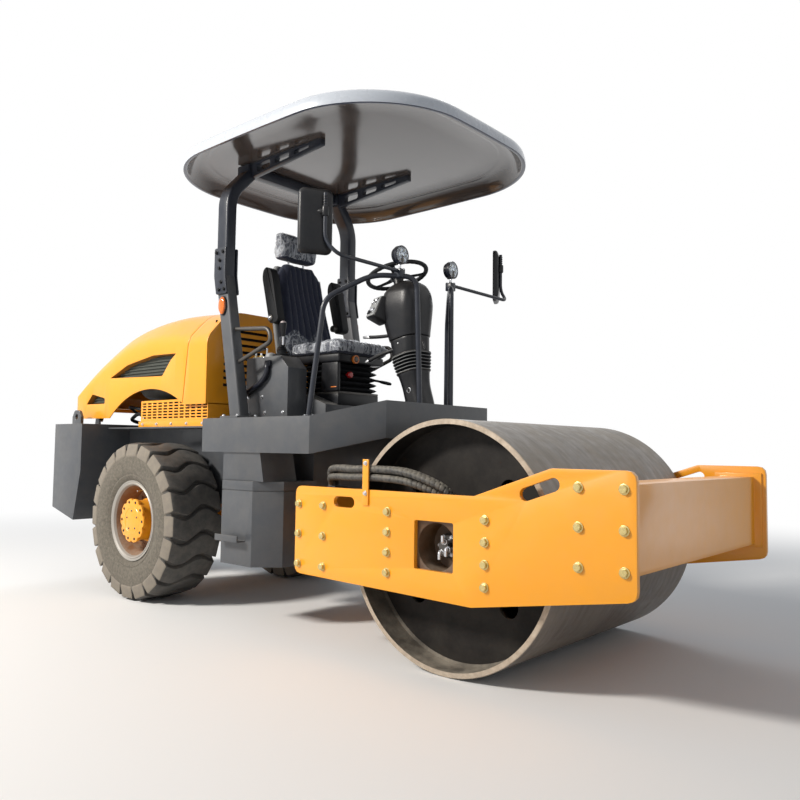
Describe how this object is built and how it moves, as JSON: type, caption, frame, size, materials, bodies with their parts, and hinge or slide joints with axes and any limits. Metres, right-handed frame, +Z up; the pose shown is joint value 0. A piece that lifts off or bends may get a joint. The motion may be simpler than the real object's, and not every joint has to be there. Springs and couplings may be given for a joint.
{
  "type": "single-drum road roller",
  "caption": "Ride-on road roller: smooth steel drum in an articulated front frame, rubber drive wheels, open driver's platform under a canopy, tilting hood.",
  "frame": {"origin": "on the ground under the middle of the machine's box", "axes": "+X forward, towards the drum; +Y to the driver's left; +Z up"},
  "size_m": [4.952, 1.9346, 3.01],
  "materials": {
    "yellow_paint": "glossy orange-yellow enamel on steel plate",
    "grey_paint": "satin dark grey enamel on steel plate",
    "black_paint": "satin black enamel on steel tube and castings",
    "rolled_steel": "bare rolled steel with fine machining lines and light rust",
    "rim_steel": "silver paint with an orange-brown dish",
    "chrome_rod": "hard chrome, ground",
    "lamp_metal": "bright reflector in a black housing",
    "tyre": "matt black moulded tyre rubber with lugs",
    "hose_rubber": "black hydraulic hose in spiral wrap",
    "bellows_rubber": "matt black rubber bellows",
    "seat_fabric": "navy woven seat cloth, pleated",
    "black_plastic": "grained black moulded plastic",
    "white_shell": "white gelcoat shell with a grey-brown underside",
    "amber_lens": "clear orange lens"
  },
  "bodies": {
    "rear_frame": {"chassis": "grey_paint", "rear_axle": "yellow_paint", "counterweight": "grey_paint", "engine_block": "black_paint", "hood_front": "yellow_paint", "side_grille_right": "yellow_paint", "side_grille_left": "yellow_paint", "deck": "grey_paint", "step_box_right": "grey_paint", "step_box_left": "grey_paint", "lower_post_right": "grey_paint", "lower_post_left": "grey_paint", "upper_frame": "grey_paint", "canopy": "white_shell", "seat_base": "black_plastic", "seat_suspension": "bellows_rubber", "seat_cushion": "seat_fabric", "seat_back": "seat_fabric", "headrest": "seat_fabric", "armrest_right": "seat_fabric", "armrest_left": "seat_fabric", "side_console": "grey_paint", "travel_lever": "black_paint", "steering_console": "black_plastic", "steering_wheel": "black_plastic", "handrail_right": "black_paint", "handrail_left": "black_paint", "mirror_right": "black_plastic", "mirror_left": "black_plastic", "work_lamp_right": "lamp_metal", "work_lamp_left": "lamp_metal", "marker_lamp_right": "amber_lens", "marker_lamp_left": "amber_lens"},
    "front_frame": {"side_plate_right": "yellow_paint", "side_plate_left": "yellow_paint", "front_beam": "yellow_paint", "rear_beam": "yellow_paint", "drum_carrier_right": "black_paint", "drum_carrier_left": "black_paint", "drum_hoses": "hose_rubber", "hose_bracket": "yellow_paint"},
    "drum": {"drum": "rolled_steel", "drum_heads": "rolled_steel"},
    "wheel_right": {"tyre_right": "tyre", "rim_right": "rim_steel", "wheel_hub_right": "yellow_paint"},
    "wheel_left": {"tyre_left": "tyre", "rim_left": "rim_steel", "wheel_hub_left": "yellow_paint"},
    "hood": {"hood": "yellow_paint"},
    "barrel_right": {"cylinder_barrel_right": "black_paint"},
    "barrel_left": {"cylinder_barrel_left": "black_paint"},
    "rod_right": {"cylinder_rod_right": "chrome_rod"},
    "rod_left": {"cylinder_rod_left": "chrome_rod"}
  },
  "joints": [
    {"name": "articulation", "type": "hinge", "parent": "rear_frame", "child": "front_frame", "pos_m": [0.323, 0, 0.61], "axis": [0, 0, 1], "range_deg": [-30, 30]},
    {"name": "drum_spin", "type": "hinge", "parent": "front_frame", "child": "drum", "pos_m": [1.493, 0, 0.6], "axis": [0, 1, 0], "continuous": true},
    {"name": "wheel_spin_right", "type": "hinge", "parent": "rear_frame", "child": "wheel_right", "pos_m": [-1.157, -0.66, 0.5375], "axis": [0, 1, 0], "continuous": true},
    {"name": "wheel_spin_left", "type": "hinge", "parent": "rear_frame", "child": "wheel_left", "pos_m": [-1.157, 0.66, 0.5375], "axis": [0, 1, 0], "continuous": true},
    {"name": "hood_tilt", "type": "hinge", "parent": "rear_frame", "child": "hood", "pos_m": [-2.419, 0, 1.268], "axis": [0, -1, 0], "range_deg": [0, 55]},
    {"name": "barrel_swing_right", "type": "hinge", "parent": "rear_frame", "child": "barrel_right", "pos_m": [-0.307, -0.27, 0.61], "axis": [0, 0, 1], "range_deg": [-3.7, 3.7]},
    {"name": "barrel_swing_left", "type": "hinge", "parent": "rear_frame", "child": "barrel_left", "pos_m": [-0.307, 0.27, 0.61], "axis": [0, 0, 1], "range_deg": [-3.7, 3.7]},
    {"name": "rod_slide_right", "type": "slide", "parent": "barrel_right", "child": "rod_right", "axis": [1, 0, 0], "range_m": [-0.138, 0.138]},
    {"name": "rod_slide_left", "type": "slide", "parent": "barrel_left", "child": "rod_left", "axis": [1, 0, 0], "range_m": [-0.138, 0.138]}
  ],
  "couplings": [
    {"joint": "barrel_swing_right", "follows": "articulation", "ratio": 0.119},
    {"joint": "barrel_swing_left", "follows": "articulation", "ratio": 0.119},
    {"joint": "rod_slide_right", "follows": "articulation", "m_per_rad": 0.262},
    {"joint": "rod_slide_left", "follows": "articulation", "m_per_rad": -0.262}
  ]
}
